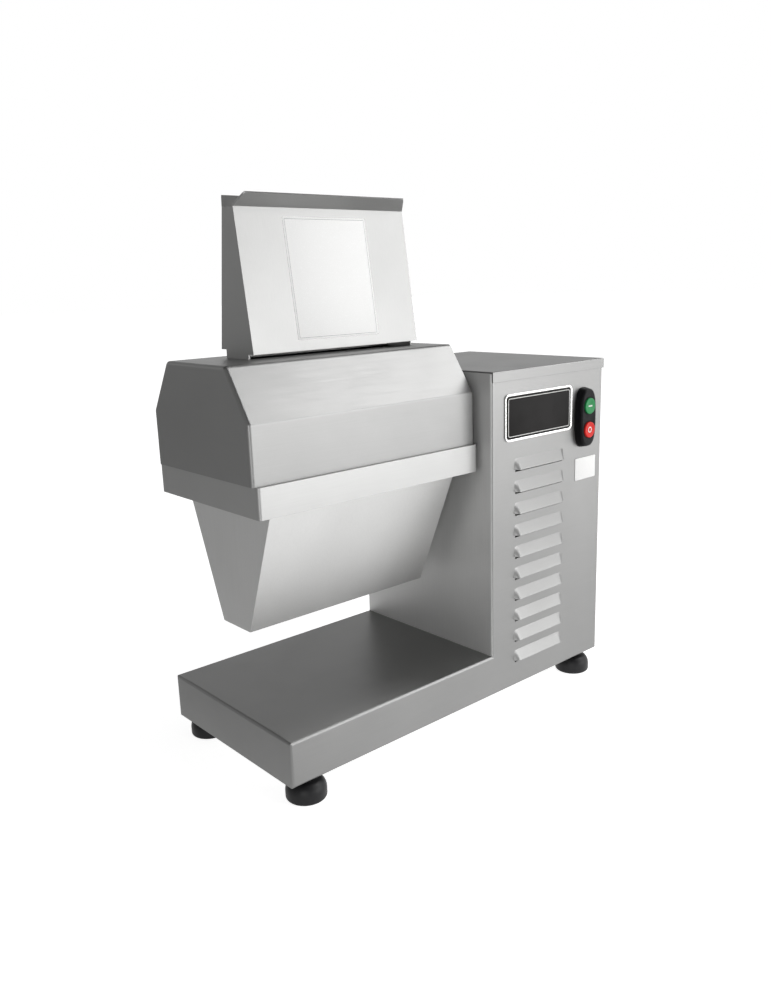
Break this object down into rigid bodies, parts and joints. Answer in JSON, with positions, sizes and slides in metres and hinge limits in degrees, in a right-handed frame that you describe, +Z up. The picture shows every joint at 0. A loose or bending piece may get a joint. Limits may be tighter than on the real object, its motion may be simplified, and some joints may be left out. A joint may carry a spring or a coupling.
{
  "type": "meat tenderizer",
  "caption": "Counter-top electric meat tenderizer: sheet steel tower and base, hooded head with interleaved blade rollers, tall feed chute above and funnel below.",
  "frame": {"origin": "on the table, under the middle of the machine's box", "axes": "+X along the base to the tower, +Y to the back, +Z up"},
  "size_m": [0.47, 0.2321, 0.5545],
  "materials": {
    "stainless_sheet": "brushed",
    "machined_steel": "ground",
    "plated_steel": "zinc plated",
    "foot_rubber": "matte",
    "cast_aluminium": "cast",
    "bronze": "turned",
    "white_plastic": "satin",
    "black_plastic": "satin",
    "black_paint": "semi-gloss",
    "bezel_plastic": "gloss",
    "green_plastic": "gloss",
    "red_plastic": "gloss"
  },
  "bodies": {
    "case": {"front_panel": "stainless_sheet", "rear_panel": "stainless_sheet", "base_deck": "stainless_sheet", "tower_inner_wall": "stainless_sheet", "tower_outer_wall": "stainless_sheet", "tower_lid": "stainless_sheet", "bottom_plate": "stainless_sheet", "head_frame": "stainless_sheet", "head_spacer": "stainless_sheet", "funnel": "stainless_sheet", "tower_stiffener": "machined_steel", "cartridge_plate_left": "machined_steel", "cartridge_plate_right": "machined_steel", "cartridge_ties": "machined_steel", "bottom_screws": "plated_steel", "foot_studs": "plated_steel", "foot_nuts": "plated_steel", "head_bolts": "plated_steel", "head_nuts": "plated_steel", "gearbox_bolts": "plated_steel", "output_bearings": "plated_steel", "foot_front_left": "foot_rubber", "foot_rear_left": "foot_rubber", "foot_front_right": "foot_rubber", "foot_rear_right": "foot_rubber", "gearbox_flange": "cast_aluminium", "gearbox_housing": "cast_aluminium", "gearbox_cover": "cast_aluminium", "motor_body": "cast_aluminium", "motor_end_shield": "cast_aluminium", "run_capacitor": "cast_aluminium", "roller_bushes": "bronze", "front_comb": "white_plastic", "rear_comb": "white_plastic", "terminal_box": "black_plastic", "switch_block": "black_plastic", "hood_sensor": "black_plastic", "cord_gland": "black_plastic", "gland_nut": "black_plastic", "fan_cowl": "black_paint", "switch_bezel": "bezel_plastic"},
    "hood": {"hood": "stainless_sheet", "feed_chute": "stainless_sheet", "hood_magnet": "black_plastic"},
    "rotor": {"motor_rotor": "machined_steel", "motor_fan": "black_plastic", "worm": "machined_steel"},
    "front_roller": {"front_shaft": "machined_steel", "front_blades": "machined_steel", "front_gear": "machined_steel", "drive_dog": "machined_steel", "output_shaft": "machined_steel", "worm_wheel": "bronze"},
    "rear_roller": {"rear_shaft": "machined_steel", "rear_blades": "machined_steel", "rear_gear": "machined_steel"},
    "start_button": {"start_button": "green_plastic"},
    "stop_button": {"stop_button": "red_plastic"}
  },
  "joints": [
    {"name": "hood_lift", "type": "slide", "parent": "case", "child": "hood", "axis": [0, 0, 1], "range_m": [0, 0.15]},
    {"name": "rotor_spin", "type": "hinge", "parent": "case", "child": "rotor", "pos_m": [0.11345, 0.021, 0.2], "axis": [0, 0, 1], "continuous": true},
    {"name": "front_roller_spin", "type": "hinge", "parent": "case", "child": "front_roller", "pos_m": [-0.08, -0.029, 0.321], "axis": [1, 0, 0], "continuous": true},
    {"name": "rear_roller_spin", "type": "hinge", "parent": "case", "child": "rear_roller", "pos_m": [-0.08, 0.027, 0.321], "axis": [1, 0, 0], "continuous": true},
    {"name": "start_press", "type": "slide", "parent": "case", "child": "start_button", "axis": [0, 1, 0], "range_m": [0, 0.003], "stiffness_N_per_m": 800, "springref_m": -0.001},
    {"name": "stop_press", "type": "slide", "parent": "case", "child": "stop_button", "axis": [0, 1, 0], "range_m": [0, 0.003], "stiffness_N_per_m": 800, "springref_m": -0.001}
  ],
  "couplings": [
    {"joint": "front_roller_spin", "follows": "rotor_spin", "ratio": -0.1},
    {"joint": "rear_roller_spin", "follows": "rotor_spin", "ratio": 0.1}
  ]
}
